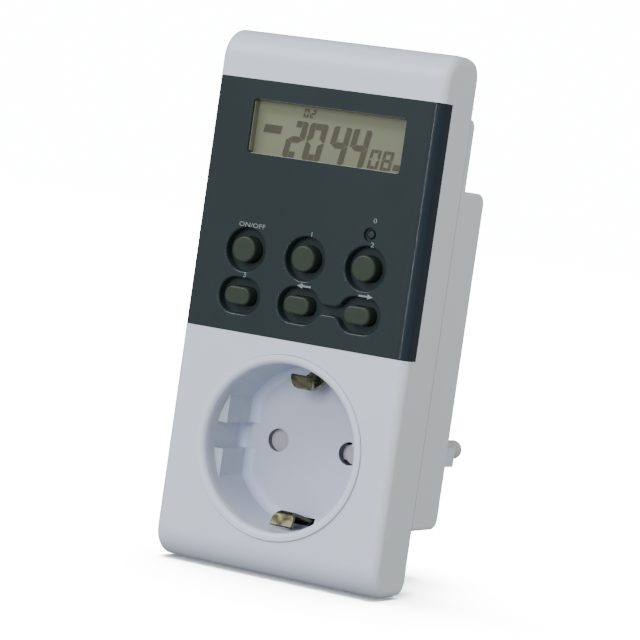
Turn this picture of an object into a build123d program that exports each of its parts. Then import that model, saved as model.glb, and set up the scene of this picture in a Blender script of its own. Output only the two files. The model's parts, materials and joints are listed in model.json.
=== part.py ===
from build123d import *
import os

# A plug-through digital timer switch, in millimetres. X runs to the right as seen from the front,
# Y from the front face towards the wall, Z up. The origin is the centre of the plug face, on the
# line that the plug and the socket share. Depths are measured back from the front face.

# Casing
casing_width = 58.8
casing_top = 94.5
casing_bottom = 30.0
casing_depth = 15.4
wall = 2.2
front_round = 7.0
rear_top_round = 5.5
rear_bottom_round = 4.0
side_edge_round = 2.0
rear_lip_top = 7.6
rear_lip_bottom = 5.5
shell_lip = 1.2
seat_gap = 0.1
slip = 0.05
blend_in = 0.2
cut_past = 1.0

# Rear block, the housing of the mains parts, with the step above it
block_top = 64.3
block_bottom = 14.8
rail_room = 5.9
block_corner = 2.6
step_below_top = 13.8
step_height = 2.3
step_land = 0.3

# Plug
plug_reach = 56.4
drum_gap = 0.9
pad_height = 7.0
spigot_inset = 1.0
pad_round = 2.0
boss_radius = 18.5
boss_flat = 16.4
boss_wall = 2.6
boss_chamfer = 0.8
guide_rib_width = 4.8
guide_rib_proud = 0.2
pin_radius = 2.4
pin_root_radius = 2.9
pin_rivet_radius = 1.5
pin_collar = 1.2
pin_length = 19.0
pin_tip_round = 1.6
pin_pitch = 19.0

# Socket
mouth_radius = 19.5
mouth_round = 1.2
ring_width = 2.0
ring_proud = 0.4
ring_thickness = 1.6
cup_wall = 1.4
recess_draft = 0.6
floor_round = 2.5
recess_depth = 17.5
floor_thickness = 1.8
key_flat = 16.7
key_flat_start = 4.5
key_groove_width = 6.2
key_groove_round = 2.0
contact_hole_play = 0.35

# Shutter behind the socket floor
shutter_thickness = 1.8
shutter_play = 0.15
left_blade_radius = 3.9
left_blade_shift = 0.65
right_blade_radius = 2.5
right_blade_shift = 0.7
blade_clearance = 0.35
shutter_hub_radius = 3.6
shutter_pivot_radius = 1.5
shutter_arm_width = 3.6
shutter_lug_half = 0.9
shutter_lug_reach = 3.0
running_gap = 0.05
skirt_wall = 1.4
cover_thickness = 1.8
spring_radius = 0.75
spring_wire = 0.15
spring_turns = 5
spring_height = 7.2
spring_stop_width = 1.6
spring_stop_half = 1.2

# Live contacts
contact_slip = 0.15
contact_wall = 0.7
contact_length = 15.0
rail_width = 5.0
rail_thickness = 0.8
rail_bend = 0.6
rail_offset = 1.2
input_rail_gap = 1.0
input_riser_width = 3.4

# Earth clips, which run from the socket recess to the sides of the plug
clip_width = 5.6
clip_thickness = 0.8
clip_inset = 1.6
top_clip_inner = 13.2
bottom_clip_inner = 14.8
clip_flare = 3.2
clip_nose_depth = 6.8
clip_bend_depth = 8.6
clip_bend = 1.3
clip_corner = 2.3
clip_floor_shift = 0.6
clip_jog = 5.0
clip_end_gap = 1.6
clip_side_play = 0.4
clip_slot_inner = 0.9
clip_slot_outer = 1.0
clip_bed = 0.2

# Dark panel with the window and the keys
panel_low = 24.8
panel_below_top = 11.3
panel_thickness = 2.0
panel_side = 1.0
panel_side_depth = 4.6
panel_backing = 1.6
window_left = 19.1
window_right = 20.8
window_height = 12.6
window_below_panel_top = 4.4
window_corner = 0.8

# Keys
key_pitch = 15.7
oval_row_rise = 8.35
row_pitch = 10.75
round_key_radius = 3.05
oval_key_width = 6.6
oval_key_height = 4.2
oval_key_corner = 1.9
key_proud = 1.1
key_travel = 1.0
key_flange = 1.1
key_flange_thickness = 0.8
key_clearance = 0.15
key_edge_round = 0.5
well_margin = 2.05
well_depth = 2.6
well_floor = 0.8
well_wall = 0.8
well_rim_round = 0.45
link_groove_height = 2.1
link_groove_round = 2.2
reset_gap = 1.65
reset_radius = 0.9
reset_well_radius = 1.6
reset_well_depth = 0.9
reset_below = 0.5
field_gap = 0.3

# Display
display_depth = 3.0
display_margin = 1.0
display_ledge = 1.0
display_thickness = 2.4
holder_wall = 1.2
connector_width = 2.0
connector_margin = 1.0
connector_rise = 0.2

# Control board with its keypad mat
board_thickness = 1.6
board_depth = 6.8
board_margin = 1.2
board_hole_play = 0.3
mat_thickness = 1.0
mat_margin = 1.4
dome_radius = 3.4
dome_taper = 0.72
post_radius = 2.3
post_inset = 3.3
post_above_panel_low = 0.8
post_below_window = 7.3
screw_radius = 1.2
screw_head_radius = 2.1
screw_head_height = 1.4
head_chamfer = 0.4
screw_length = 8.0
screw_bite = 2.6

# Parts on the control board
chip_x = -3.0
chip_below_window = 4.2
chip_half = 6.0
chip_height = 1.5
chip_standoff = 0.2
chip_chamfer = 0.4
leg_pitch = 1.6
leg_count = 7
leg_width = 0.6
leg_reach = 1.2
crystal_inset = 7.9
crystal_rise = 2.1
crystal_radius = 1.5
crystal_length = 8.0
crystal_round = 0.5
battery_inset = 9.9
battery_above_window_low = 4.8
battery_radius = 5.75
battery_headroom = 1.1
battery_tab = 0.35
battery_tab_reach = 2.75
battery_tab_width = 3.0
link_inset = 9.4
link_below_top = 10.1
link_pins = 6
pin_header_pitch = 2.54
link_width = 2.5
link_pin_width = 0.64
link_pin_reach = 1.2

# Power board and its parts
power_board_margin = 1.7
power_board_depth = 12.4
power_board_below_panel = 0.8
power_board_below_block_top = 2.7
power_post_inset = 3.4
part_gap = 1.6
relay_length = 19.0
relay_headroom = 0.9
relay_round = 0.8
relay_clear = 2.0
capacitor_length = 18.0
capacitor_width = 8.5
capacitor_rise = 1.4
capacitor_headroom = 1.9
capacitor_round = 0.6
can_radius = 4.0
can_headroom = 1.4
can_round = 0.7
varistor_thickness = 4.0
varistor_lead = 0.6
varistor_lead_pitch = 5.0
varistor_headroom = 2.3
fuse_x = -8.0
fuse_below_top = 4.6
fuse_radius = 2.2
fuse_length = 9.0
fuse_lead_reach = 1.7
fuse_standoff = 0.4

# Housing screws
case_screw_radius = 1.4
case_screw_head_radius = 2.5
case_screw_head_height = 1.8
case_screw_inset = 3.2
case_screw_above_block_bottom = 5.8
case_screw_below_top = 10.9
case_screw_seat = 2.0
case_column = 0.9
upper_post_drop = 2.8
post_floor = 1.2
screw_tip_gap = 0.5

# Values worked out from the sizes above
half_width = casing_width / 2
cavity_half = half_width - wall
plate_front = casing_depth - wall
step_top = casing_top - step_below_top
ring_front = -ring_proud
ring_back = ring_thickness - ring_proud
ring_radius = mouth_radius + ring_width
cup_radius = mouth_radius + cup_wall
pad_radius = cup_radius + drum_gap + wall
spigot_radius = pad_radius - wall - spigot_inset
floor_radius = mouth_radius - recess_draft
floor_back = recess_depth + floor_thickness
shutter_front = floor_back + shutter_play
shutter_back = shutter_front + shutter_thickness
cover_front = shutter_back + shutter_play
cover_back = cover_front + cover_thickness
block_depth = cover_back + rail_room
pad_back = block_depth + pad_height
pin_x = pin_pitch / 2
pin_shoulder = plug_reach - 2 * boss_wall
pin_root = pin_shoulder - rail_thickness
contact_hole_radius = pin_radius + contact_hole_play
contact_bore = pin_radius + contact_slip
sleeve_front = cover_back + seat_gap
sleeve_back = sleeve_front + contact_length
skirt_radius = pin_x + left_blade_shift + left_blade_radius + blade_clearance + skirt_wall
clip_line = boss_radius - clip_inset
clip_floor_line = clip_line + clip_floor_shift
backing_front = panel_thickness + slip
backing_back = backing_front + panel_backing
panel_high = casing_top - panel_below_top
window_high = panel_high - window_below_panel_top
window_low = window_high - window_height
window_x = (window_right - window_left) / 2
window_z = (window_low + window_high) / 2
glass_half_width = (window_left + window_right) / 2 + display_margin
glass_half_height = window_height / 2 + display_margin
key_columns = [-key_pitch, 0, key_pitch]
oval_row = panel_low + oval_row_rise
round_row = oval_row + row_pitch
reset_row = round_row + round_key_radius + 2 * key_flange + reset_gap + reset_radius
field_back = well_depth + well_floor
field_half = key_pitch + oval_key_width / 2 + well_margin + well_wall
field_low = oval_row - oval_key_height / 2 - well_margin - well_wall
field_high = reset_row + reset_well_radius + well_wall
flange_front = field_back + slip
flange_back = flange_front + key_flange_thickness
board_back = board_depth + board_thickness
board_post_x = cavity_half - post_inset
board_post_low = panel_low + post_above_panel_low
board_screw_spots = [(side * board_post_x, z) for side in (-1, 1)
                     for z in (board_post_low, window_low - post_below_window)]
power_board_back = power_board_depth + board_thickness
power_board_low = panel_low - power_board_below_panel
power_board_high = block_top - power_board_below_block_top
power_room = block_depth - wall - power_board_back
power_screw_spots = [(side * board_post_x, z) for side in (-1, 1)
                     for z in (power_board_low + power_post_inset, power_board_high - power_post_inset)]
link_x = board_post_x - link_inset
link_row = power_board_high - link_below_top
parts_left = -(board_post_x - post_radius - part_gap)
capacitor_low = power_board_low + capacitor_rise
capacitor_high = capacitor_low + capacitor_width
relay_low = capacitor_high + relay_clear
relay_high = link_row - relay_clear
case_screw_x = cavity_half - case_screw_inset
case_screw_spots = [(side * case_screw_x, z) for side in (-1, 1)
                    for z in (case_screw_above_block_bottom - block_bottom, casing_top - case_screw_below_top)]
case_screw_length = plate_front - upper_post_drop + case_screw_seat - wall - post_floor - screw_tip_gap


# Y of a plane at a depth behind the front face
def depth(distance):
    return distance - plug_reach


# Block between two sides, two depths and two heights
def slab(left, right, front, back, low, high):
    middle = Pos((left + right) / 2, depth((front + back) / 2), (low + high) / 2)
    return middle * Box(right - left, back - front, high - low)


# Round bar along Y between two depths
def bar(x, z, radius, front, back):
    return Pos(x, depth((front + back) / 2), z) * Rot(90, 0, 0) * Cylinder(radius, back - front)


# Solid of a flat shape drawn in X and Z, between two depths
def plate(shape, front, back):
    return extrude(Plane(origin=(0, depth(back), 0), x_dir=(1, 0, 0), z_dir=(0, -1, 0)) * shape,
                   amount=back - front)


# Edges round the end of a solid that faces the wall, or the front
def back_rim(shape):
    return shape.faces().sort_by(Axis.Y)[-1].edges()


def front_rim(shape):
    return shape.faces().sort_by(Axis.Y)[0].edges()


# Edge along X nearest a depth and a height
def edge_along_x(shape, at_depth, z):
    aim = Vector(0, depth(at_depth), z)
    return min(shape.edges().filter_by(Axis.X), key=lambda edge: (edge.center() - aim).length)


# Side profile of the casing run across a width, with its four corners rounded
def casing_prism(half, front, back, low, high, inset):
    form = slab(-half, half, front, back, low, high)
    corners = [(front, high, front_round), (front, low, front_round),
               (back, high, rear_top_round), (back, low, rear_bottom_round)]
    for at_depth, z, radius in corners:
        form = fillet(edge_along_x(form, at_depth, z), radius - inset)
    return form


# Outside of the casing: its side edges are rounded round the front, but run straight out at the back
def casing_outside():
    deeper = casing_depth + 3 * rear_top_round
    form = slab(-half_width, half_width, 0, deeper, -casing_bottom, casing_top)
    for z in (-casing_bottom, casing_top):
        form = fillet(edge_along_x(form, 0, z), front_round)
    open_end = depth(deeper) - side_edge_round
    sides = [edge for face in (form.faces().sort_by(Axis.X)[0], form.faces().sort_by(Axis.X)[-1])
             for edge in face.edges() if edge.center().Y < open_end]
    form = fillet(sides, side_edge_round)
    return form & casing_prism(half_width + cut_past, 0, casing_depth, -casing_bottom, casing_top, 0)


# Opening at the back of the casing, for the rear shell's plate
def rear_opening(gap, front, back):
    return slab(-cavity_half + gap, cavity_half - gap, front, back,
                -casing_bottom + rear_lip_bottom + gap, casing_top - rear_lip_top - gap)


# Depth where a housing screw's post meets the rear shell
def case_post_top(z):
    return plate_front - upper_post_drop if z > block_top else plate_front


# Room for the display and its holder
def display_opening(front, back, gap):
    half_w = glass_half_width + holder_wall + gap
    half_h = glass_half_height + holder_wall + gap
    return slab(window_x - half_w, window_x + half_w, front, back, window_z - half_h, window_z + half_h)


def front_shell(outside):
    shell = outside - casing_prism(cavity_half, wall, plate_front, -casing_bottom + wall, casing_top - wall, wall)
    shell -= rear_opening(0, plate_front - cut_past, casing_depth + cut_past)
    low = panel_low - slip
    high = panel_high + slip
    reach = cavity_half + blend_in
    shell += slab(-reach, reach, wall - blend_in, backing_back, low - wall, high + wall)
    # Seat of the dark panel: the face and both sides are set back by its thickness
    core = half_width - panel_side - slip
    seat = slab(-casing_width, casing_width, -cut_past, panel_side_depth + slip, low, high)
    seat -= slab(-core, core, backing_front, casing_depth, low, high)
    shell -= seat
    shell -= display_opening(backing_front - cut_past, backing_back + cut_past, seat_gap)
    shell -= slab(-field_half - field_gap, field_half + field_gap, backing_front - cut_past,
                  backing_back + cut_past, field_low - field_gap, field_high + field_gap)
    # Socket seat: a counterbore for the ring and a clear hole for the cup
    shell -= bar(0, 0, ring_radius + seat_gap, -cut_past, ring_back + slip)
    shell -= bar(0, 0, cup_radius + seat_gap, -cut_past, backing_back + cut_past)
    for x, z in case_screw_spots:
        top = case_post_top(z)
        tip = top + case_screw_seat - case_screw_length - screw_tip_gap
        shell += bar(x, z, post_radius, wall - blend_in, top)
        shell -= bar(x, z, case_screw_radius + slip, tip, top + cut_past)
    for x, z in board_screw_spots:
        shell += bar(x, z, post_radius, backing_back - blend_in, board_depth)
        shell -= bar(x, z, screw_radius + slip, backing_back, board_depth + cut_past)
    return shell & outside


def rear_shell(outside):
    block = slab(-half_width, half_width, casing_depth, block_depth, -block_bottom, block_top)
    for z in (-block_bottom, block_top):
        block = fillet(edge_along_x(block, block_depth, z), block_corner)
    rim = [edge for edge in block.edges().filter_by(GeomType.LINE)
           if abs(edge.center().Y - depth(block_depth)) < slip and abs(edge.center().X) > cavity_half]
    block = fillet(rim, side_edge_round / 2)
    step_side = half_width - slip
    step_back = casing_depth + step_height
    step = slab(-step_side, step_side, casing_depth, step_back, block_top - cut_past, step_top)
    step = fillet(edge_along_x(step, step_back, step_top), step_height - step_land)
    # Round drum behind the socket, which runs on into the plug's pad
    drum = bar(0, 0, pad_radius, casing_depth, block_depth)
    shell = block + step + drum + rear_opening(seat_gap, plate_front, casing_depth + blend_in)
    inner = cavity_half - slip
    lip = inner - shell_lip
    low = -block_bottom + wall
    high = block_top - wall
    room_back = block_depth - wall
    shell -= slab(-inner, inner, casing_depth + wall, room_back, low, high)
    shell -= slab(-lip, lip, plate_front - cut_past, room_back, low, high)
    shell -= bar(0, 0, pad_radius - wall, plate_front - cut_past, room_back)
    for x, z in power_screw_spots:
        shell += bar(x, z, post_radius, power_board_back, room_back + blend_in)
        shell -= bar(x, z, screw_radius + slip, power_board_back - cut_past, power_board_back + screw_length)
    # Columns for the housing screws, whose heads sit deep in them
    for x, z in case_screw_spots:
        top = case_post_top(z)
        back = casing_depth if z > block_top else block_depth
        shell += bar(x, z, post_radius + case_column, top, back - blend_in)
        shell -= bar(x, z, case_screw_radius + seat_gap, top - cut_past, back + cut_past)
        shell -= bar(x, z, case_screw_head_radius + seat_gap, top + case_screw_seat, back + cut_past)
    # Hole for the plug body's spigot
    shell -= bar(0, 0, spigot_radius + seat_gap, room_back - cut_past, block_depth + cut_past)
    return shell


# Slot or groove for one earth clip, above or below the middle
def earth_groove(side, front, back, inner, outer):
    half = clip_width / 2 + clip_side_play
    low, high = sorted((side * inner, side * outer))
    return slab(-half, half, front, back, low, high)


def plug_body():
    boss = bar(0, 0, boss_radius, pad_back - cut_past, plug_reach)
    boss &= slab(-boss_flat, boss_flat, pad_back - 2 * cut_past, plug_reach + cut_past, -boss_radius, boss_radius)
    rib_reach = boss_radius + guide_rib_proud
    boss += slab(-rib_reach, rib_reach, pad_back - cut_past, plug_reach, -guide_rib_width / 2, guide_rib_width / 2)
    boss = chamfer(back_rim(boss), boss_chamfer)
    pad = bar(0, 0, pad_radius, block_depth, pad_back)
    pad = fillet(back_rim(pad), pad_round)
    room_back = block_depth - wall
    body = boss + pad + bar(0, 0, spigot_radius, room_back, block_depth + blend_in)
    clip_outer = clip_line + clip_thickness / 2
    clip_inside = clip_line - clip_thickness / 2 - clip_bed
    body -= bar(0, 0, spigot_radius - wall, room_back - cut_past, pad_back - wall)
    body -= bar(0, 0, clip_inside - boss_wall / 2, block_depth, plug_reach - boss_wall)
    for side in (-1, 1):
        body -= earth_groove(side, room_back - cut_past, pad_back + slip, clip_inside, clip_outer + clip_bed)
        body -= earth_groove(side, pad_back, plug_reach + cut_past, clip_inside, boss_radius + cut_past)
    collar_front = plug_reach - boss_wall - pin_collar
    for x in (-pin_x, pin_x):
        body += bar(x, 0, pin_root_radius + pin_collar, collar_front, plug_reach - boss_wall + blend_in)
        body -= bar(x, 0, pin_root_radius + slip, collar_front - cut_past, plug_reach + cut_past)
    return body


def plug_pins():
    pins = []
    for x in (-pin_x, pin_x):
        pin = bar(x, 0, pin_radius, plug_reach - cut_past, plug_reach + pin_length)
        pin = fillet(back_rim(pin), pin_tip_round)
        pin += bar(x, 0, pin_root_radius, pin_shoulder, plug_reach)
        pins.append(pin + bar(x, 0, pin_rivet_radius, pin_root, pin_shoulder + blend_in))
    return Compound(children=pins)


# Round and oval outlines of the keys in X and Z, grown by a margin
def round_outline(x, grow):
    return Pos(x, round_row) * Circle(round_key_radius + grow)


def oval_outline(x, grow):
    return Pos(x, oval_row) * RectangleRounded(oval_key_width + 2 * grow, oval_key_height + 2 * grow,
                                               oval_key_corner + grow)


# Outline of the wells: the middle and right ovals share one, drawn in to a neck between them
def well_outlines():
    waist = oval_outline(0, well_margin) + oval_outline(key_pitch, well_margin)
    waist += Pos(key_pitch / 2, oval_row) * Rectangle(key_pitch, link_groove_height)
    neck = [corner for corner in waist.vertices() if 0 < corner.X < key_pitch
            and abs(abs(corner.Y - oval_row) - link_groove_height / 2) < slip]
    waist = fillet(neck, link_groove_round)
    return [waist, oval_outline(-key_pitch, well_margin)] + [round_outline(x, well_margin) for x in key_columns]


def display_panel(outside):
    zone = slab(-casing_width, casing_width, -cut_past, panel_side_depth, panel_low, panel_high)
    inner = half_width - panel_side
    panel = (outside & zone) - slab(-inner, inner, panel_thickness, casing_depth,
                                    panel_low - cut_past, panel_high + cut_past)
    panel += slab(-field_half, field_half, panel_thickness - blend_in, field_back, field_low, field_high)
    window = slab(-window_left, window_right, -cut_past, panel_thickness + cut_past, window_low, window_high)
    panel -= fillet(window.edges().filter_by(Axis.Y), window_corner)
    for outline in well_outlines():
        panel -= plate(outline, -cut_past, well_depth)
    rims = [edge for edge in panel.edges() if abs(edge.center().Y - depth(0)) < slip
            and abs(edge.center().X) < field_half and field_low < edge.center().Z < reset_row - reset_well_radius]
    panel = fillet(rims, well_rim_round)
    for x in key_columns:
        panel -= plate(round_outline(x, key_clearance), -cut_past, field_back + cut_past)
        panel -= plate(oval_outline(x, key_clearance), -cut_past, field_back + cut_past)
    panel -= bar(key_pitch, reset_row, reset_well_radius, -cut_past, reset_well_depth)
    panel -= bar(key_pitch, reset_row, reset_radius + key_clearance, -cut_past, field_back + cut_past)
    return panel


# Cap with a flange behind the panel that stops the key from coming out
def key(outline, x):
    cap = fillet(front_rim(plate(outline(x, 0), -key_proud, flange_front + blend_in)), key_edge_round)
    return cap + plate(outline(x, key_flange), flange_front, flange_back)


def reset_key():
    cap = bar(key_pitch, reset_row, reset_radius, reset_below, flange_front + blend_in)
    cap = fillet(front_rim(cap), reset_radius / 3)
    return cap + bar(key_pitch, reset_row, reset_radius + key_flange, flange_front, flange_back)


# Rubber mat on the board with a dome under each key, clear of the key by its travel
def keypad_mat():
    face = board_depth - mat_thickness
    half = key_pitch + dome_radius + mat_margin
    small_dome = reset_radius + key_flange
    mat = slab(-half, half, face, board_depth, oval_row - dome_radius - mat_margin,
               reset_row + small_dome + mat_margin / 2)
    dome_top = flange_back + key_travel + seat_gap
    domes = [(x, z, dome_radius) for x in key_columns for z in (round_row, oval_row)]
    for x, z, radius in domes + [(key_pitch, reset_row, small_dome)]:
        place = Pos(x, depth((dome_top + face + blend_in) / 2), z) * Rot(90, 0, 0)
        mat += place * Cone(radius, radius * dome_taper, face + blend_in - dome_top)
    return mat


# Two glass plates, of which the front one is longer and carries the contacts at its low edge
def display_glass():
    left = window_x - glass_half_width
    right = window_x + glass_half_width
    low = window_z - glass_half_height
    high = window_z + glass_half_height
    middle = display_depth + display_thickness / 2
    return (slab(left, right, display_depth, middle, low, high)
            + slab(left, right, middle, display_depth + display_thickness, low + display_ledge, high))


def display_holder():
    frame = display_opening(backing_front + seat_gap, board_depth, 0)
    half_w = glass_half_width + slip
    half_h = glass_half_height + slip
    frame -= slab(window_x - half_w, window_x + half_w, 0, board_depth + cut_past,
                  window_z - half_h, window_z + half_h)
    return fillet(frame.edges().filter_by(Axis.Y).sort_by(Axis.Z)[-2:], window_corner / 2)


# Elastomer strip that carries the display's signals down to the board
def display_connector():
    low = window_z - glass_half_height + display_ledge + connector_rise
    half = glass_half_width - connector_margin
    return slab(window_x - half, window_x + half, display_depth + display_thickness, board_depth,
                low, low + connector_width)


def control_board():
    edge = cavity_half - board_margin
    high = window_z + glass_half_height + holder_wall + connector_rise
    board = slab(-edge, edge, board_depth, board_back, board_post_low - post_radius, high)
    for x, z in board_screw_spots:
        board -= bar(x, z, screw_radius + board_hole_play, board_depth - cut_past, board_back + cut_past)
    for x, z in case_screw_spots:
        board -= bar(x, z, post_radius + board_hole_play, board_depth - cut_past, board_back + cut_past)
    return board


def controller_chip():
    z = window_low - chip_below_window
    top = board_back + chip_standoff + chip_height
    chip = slab(chip_x - chip_half, chip_x + chip_half, board_back + chip_standoff, top, z - chip_half, z + chip_half)
    chip = chamfer(back_rim(chip), chip_chamfer)
    reach = chip_half + leg_reach
    for leg in range(leg_count):
        low = (leg - leg_count / 2 + 0.5) * leg_pitch - leg_width / 2
        high = low + leg_width
        chip += slab(chip_x - reach, chip_x + reach, board_back, board_back + leg_width, z + low, z + high)
        chip += slab(chip_x + low, chip_x + high, board_back, board_back + leg_width, z - reach, z + reach)
    return chip


def quartz_crystal():
    place = Pos(crystal_inset - board_post_x, depth(board_back + crystal_radius), round_row + crystal_rise)
    can = place * Cylinder(crystal_radius, crystal_length)
    return fillet(can.faces().sort_by(Axis.Z)[-1].edges(), crystal_round)


def backup_battery():
    x = board_post_x - battery_inset
    z = window_low + battery_above_window_low
    cell = bar(x, z, battery_radius, board_back + battery_tab, plate_front - battery_headroom)
    reach = battery_radius + battery_tab_reach
    tabs = slab(x - reach, x + reach, board_back, board_back + battery_tab,
                z - battery_tab_width / 2, z + battery_tab_width / 2)
    return cell + tabs


# Pin strip that joins the two boards
def board_link():
    half = link_pins * pin_header_pitch / 2
    pin_half = link_pin_width / 2
    strip = slab(link_x - half, link_x + half, board_back, power_board_depth,
                 link_row - link_width / 2, link_row + link_width / 2)
    for pin in range(link_pins):
        x = link_x + (pin - link_pins / 2 + 0.5) * pin_header_pitch
        strip += slab(x - pin_half, x + pin_half, power_board_depth - blend_in,
                      power_board_back + link_pin_reach, link_row - pin_half, link_row + pin_half)
    return strip


def power_board():
    edge = cavity_half - power_board_margin
    front = power_board_depth - cut_past
    back = power_board_back + cut_past
    board = slab(-edge, edge, power_board_depth, power_board_back, power_board_low, power_board_high)
    for x, z in power_screw_spots:
        board -= bar(x, z, screw_radius + board_hole_play, front, back)
    slot_half = link_pins * pin_header_pitch / 2
    slot_rise = link_pin_width / 2 + board_hole_play
    board -= slab(link_x - slot_half, link_x + slot_half, front, back, link_row - slot_rise, link_row + slot_rise)
    return board


def relay():
    body = slab(parts_left, parts_left + relay_length, power_board_back,
                power_board_back + power_room - relay_headroom, relay_low, relay_high)
    return fillet(body.edges().filter_by(Axis.Y), relay_round)


def film_capacitor():
    body = slab(parts_left, parts_left + capacitor_length, power_board_back,
                power_board_back + power_room - capacitor_headroom, capacitor_low, capacitor_high)
    return fillet(body.edges().filter_by(Axis.Y), capacitor_round)


def smoothing_capacitor():
    x = parts_left + relay_length + part_gap + can_radius
    can = bar(x, relay_high - can_radius, can_radius, power_board_back, power_board_back + power_room - can_headroom)
    return chamfer(back_rim(can), can_round)


def varistor():
    radius = (power_room - varistor_lead - varistor_headroom) / 2
    x = parts_left + capacitor_length + part_gap + radius
    z = (capacitor_low + capacitor_high) / 2
    disc = Pos(x, depth(power_board_back + varistor_lead + radius), z) * Cylinder(radius, varistor_thickness)
    half = varistor_lead / 2
    for lead in (x - varistor_lead_pitch / 2, x + varistor_lead_pitch / 2):
        disc += slab(lead - half, lead + half, power_board_back, power_board_back + radius, z - half, z + half)
    return disc


def fuse_resistor():
    z = power_board_high - fuse_below_top
    middle = power_board_back + fuse_standoff + fuse_radius
    body = Pos(fuse_x, depth(middle), z) * Rot(0, 90, 0) * Cylinder(fuse_radius, fuse_length)
    half = link_pin_width / 2
    reach = fuse_length / 2 + fuse_lead_reach
    body += slab(fuse_x - reach, fuse_x + reach, middle - half, middle + half, z - half, z + half)
    for x in (fuse_x - reach + half, fuse_x + reach - half):
        body += slab(x - half, x + half, power_board_back, middle, z - half, z + half)
    return body


# Bent strip of sheet metal: a rounded line in Y and Z, given as depths and heights, across a width
def strip_side(points, x, width, thickness, bend):
    line = FilletPolyline(*[(depth(at_depth), z) for at_depth, z in points], radius=bend)
    band = trace(line, line_width=thickness)
    return Pos(x - width / 2, 0, 0) * extrude(Plane.YZ * band, amount=width)


# The same for a line in X and Y, across a height
def strip_flat(points, z, width, thickness, bend):
    line = FilletPolyline(*[(x, depth(at_depth)) for x, at_depth in points], radius=bend)
    band = trace(line, line_width=thickness)
    return Pos(0, 0, z - width / 2) * extrude(band, amount=width)


# Earth clip: a flared nose in the recess, through the floor, and along the side of the plug.
# Seen from the front, the corners of its crest are rounded.
def earth_clip(side, inner):
    crest = inner + clip_thickness / 2
    points = [(clip_nose_depth, side * (crest + clip_flare)), (clip_bend_depth, side * crest),
              (recess_depth, side * clip_floor_line), (recess_depth + clip_jog, side * clip_line),
              (plug_reach - clip_end_gap, side * clip_line)]
    strip = strip_side(points, 0, clip_width, clip_thickness, clip_bend)
    tall = 2 * boss_radius
    tongue = Pos(0, side * (inner + tall / 2)) * RectangleRounded(clip_width, tall, clip_corner)
    return strip & plate(tongue, 0, plug_reach)


# Round sleeve that grips an entering pin
def contact_sleeve(x):
    sleeve = bar(x, 0, contact_bore + contact_wall, sleeve_front, sleeve_back)
    return sleeve - bar(x, 0, contact_bore, sleeve_front - cut_past, sleeve_back + cut_past)


# Strip from a sleeve up to the low edge of the power board
def contact_riser(x):
    start = cover_back + rail_offset
    height = power_board_low + rail_thickness
    points = [(start, contact_bore + blend_in), (start, height), (power_board_back, height)]
    return strip_side(points, x, rail_width, rail_thickness, rail_bend)


def neutral_rail():
    side_x = -pin_x - contact_bore - contact_wall / 2
    root = pin_root + rail_thickness / 2
    foot = [(side_x, sleeve_back - rail_width + cut_past), (side_x, root),
            (-pin_x + pin_radius + rail_bend, root)]
    rail = contact_sleeve(-pin_x) + strip_flat(foot, 0, rail_width, rail_thickness, rail_bend)
    rail += contact_riser(-pin_x)
    return rail - bar(-pin_x, 0, pin_rivet_radius + slip, root - cut_past, root + cut_past)


def line_output_rail():
    return contact_sleeve(pin_x) + contact_riser(pin_x)


# Strip from the right pin, past its sleeve, up to the power board
def line_input_rail():
    side_x = pin_x + contact_bore + contact_wall + input_rail_gap
    root = pin_root + rail_thickness / 2
    start = cover_back + 2 * rail_offset
    foot = [(side_x, start), (side_x, root), (pin_x - pin_radius - rail_bend, root)]
    rail = strip_flat(foot, 0, rail_width, rail_thickness, rail_bend)
    rail -= bar(pin_x, 0, pin_rivet_radius + slip, root - cut_past, root + cut_past)
    height = power_board_low + rail_thickness + capacitor_rise
    riser = [(start, -rail_width / 2), (start, height), (power_board_back, height)]
    left = side_x - rail_thickness / 2
    return rail + strip_side(riser, left + input_riser_width / 2, input_riser_width, rail_thickness, rail_bend)


# Recess of the socket: a bore with a little draft and two flats, which a groove crosses on each side.
# The foot of its wall is rounded all the way round.
def socket_recess():
    middle = Pos(0, depth((ring_front + recess_depth) / 2), 0) * Rot(90, 0, 0)
    bore = middle * Cone(floor_radius, mouth_radius, recess_depth - ring_front)
    reach = mouth_radius + cut_past
    low_part = bore & slab(-key_flat, key_flat, key_flat_start, recess_depth + cut_past, -reach, reach)
    low_part = fillet(back_rim(low_part), floor_round)
    groove = bore & slab(-reach, reach, key_flat_start - cut_past, recess_depth + cut_past,
                         -key_groove_width / 2, key_groove_width / 2)
    ends = [edge for edge in back_rim(groove) if abs(edge.center().X) > key_flat]
    groove = fillet(ends, key_groove_round)
    mouth = bore & slab(-reach, reach, ring_front - cut_past, key_flat_start, -reach, reach)
    return mouth + low_part + groove


# Place where the shutter spring ends against the socket insert
def spring_stop():
    return (shutter_lug_half + spring_height + seat_gap, shutter_hub_radius + shutter_lug_reach)


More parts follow.
